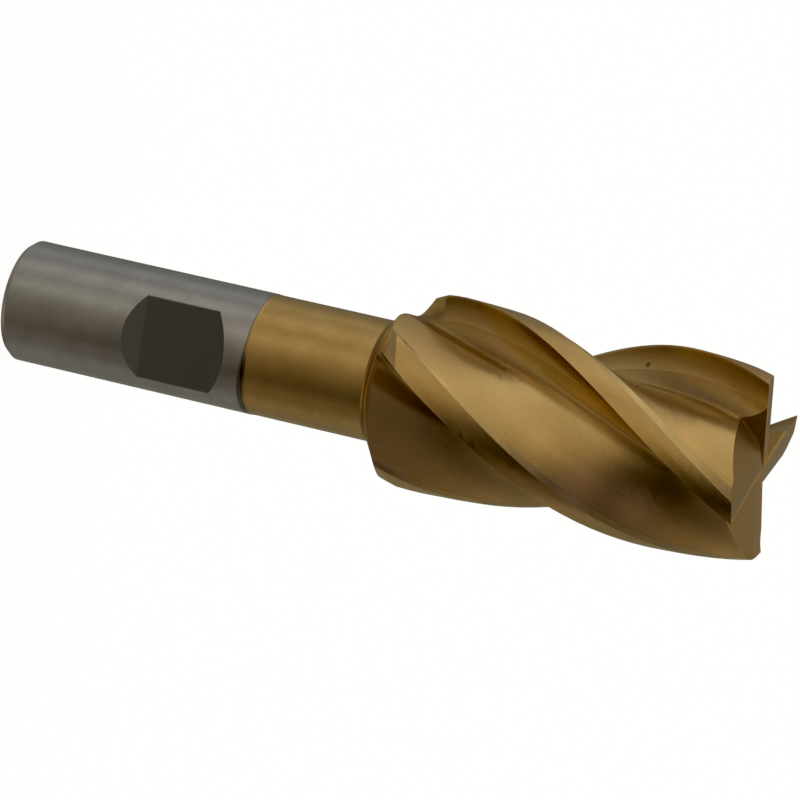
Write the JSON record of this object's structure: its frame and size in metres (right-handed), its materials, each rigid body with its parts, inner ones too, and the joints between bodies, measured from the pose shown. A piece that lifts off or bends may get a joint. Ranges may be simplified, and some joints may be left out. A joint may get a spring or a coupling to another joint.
{
  "type": "square end mill",
  "caption": "Square end mill with spiral flutes and square cutting end, on a slimmer plain shank with one clamping flat.",
  "frame": {"origin": "centre of the shank's end face", "axes": "+Z along the tool's axis from the shank's end to the cutting end, -Y out of the flat on the shank, +X completes the right-handed frame"},
  "size_m": [0.0254, 0.0254, 0.1016],
  "materials": {
    "tool_steel": "ground high-speed steel: gold titanium nitride film on the fluted body and the neck, bare grey on the shank"
  },
  "bodies": {
    "root": {"end_mill": "tool_steel"}
  },
  "joints": []
}
